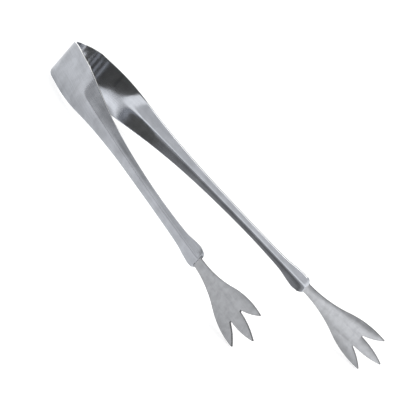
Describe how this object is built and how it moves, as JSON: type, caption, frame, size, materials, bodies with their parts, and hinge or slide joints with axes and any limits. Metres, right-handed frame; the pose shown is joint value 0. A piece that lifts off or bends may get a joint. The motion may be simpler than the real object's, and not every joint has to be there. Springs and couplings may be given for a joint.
{
  "type": "ice tongs",
  "caption": "One-piece stainless ice tongs: a bent bow springs two slim troughed arms open, each ending in a flat claw with a long centre prong and two side prongs.",
  "frame": {"origin": "middle of the footprint, on the surface the tongs lie on", "axes": "+X from the bow to the tips of the claws, Y the way the arms open, +Z across the strip's width; the tongs lie on their side"},
  "size_m": [0.1789, 0.1096, 0.0178],
  "materials": {
    "bow_spring": "bright polished stainless",
    "left_blade": "bright polished stainless",
    "left_channel": "bright polished stainless",
    "left_shoulder": "bright polished stainless",
    "left_claw": "satin stainless",
    "right_blade": "bright polished stainless",
    "right_channel": "bright polished stainless",
    "right_shoulder": "bright polished stainless",
    "right_claw": "satin stainless"
  },
  "bodies": {
    "bow": {"bow_spring": "bow_spring"},
    "left_arm": {"left_blade": "left_blade", "left_channel": "left_channel", "left_shoulder": "left_shoulder", "left_claw": "left_claw"},
    "right_arm": {"right_blade": "right_blade", "right_channel": "right_channel", "right_shoulder": "right_shoulder", "right_claw": "right_claw"}
  },
  "joints": [
    {"name": "left_squeeze", "type": "hinge", "parent": "bow", "child": "left_arm", "pos_m": [-0.08232, -0.00986, 0.0089], "axis": [0, 0, 1], "range_deg": [0, 17.4], "stiffness_Nm_per_rad": 1.2},
    {"name": "right_squeeze", "type": "hinge", "parent": "bow", "child": "right_arm", "pos_m": [-0.08232, 0.00986, 0.0089], "axis": [0, 0, 1], "range_deg": [-17.4, 0], "stiffness_Nm_per_rad": 1.2}
  ],
  "couplings": [
    {"joint": "right_squeeze", "follows": "left_squeeze", "ratio": -1}
  ]
}
